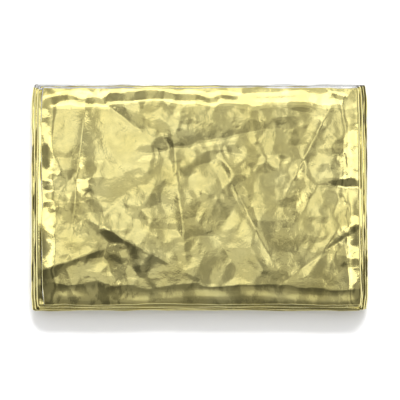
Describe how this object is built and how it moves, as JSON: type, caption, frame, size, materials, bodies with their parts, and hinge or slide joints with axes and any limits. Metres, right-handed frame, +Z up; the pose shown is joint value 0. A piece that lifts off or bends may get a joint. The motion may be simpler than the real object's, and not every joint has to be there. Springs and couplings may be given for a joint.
{
  "type": "folded emergency foil blanket",
  "caption": "Thin metallised film blanket folded back and forth into a flat pocket-sized block, gold side out.",
  "frame": {"origin": "centre of the base, on the surface that the folded blanket lies on", "axes": "+X along the long side, across the turns of the sheet; +Y along the short side; +Z up, through the layers"},
  "size_m": [0.131, 0.0886, 0.0155],
  "materials": {
    "gold_film": "metallised plastic film, glossy and crinkled, gold outside and silver inside"
  },
  "bodies": {
    "root": {"folded_blanket": "gold_film"}
  },
  "joints": []
}
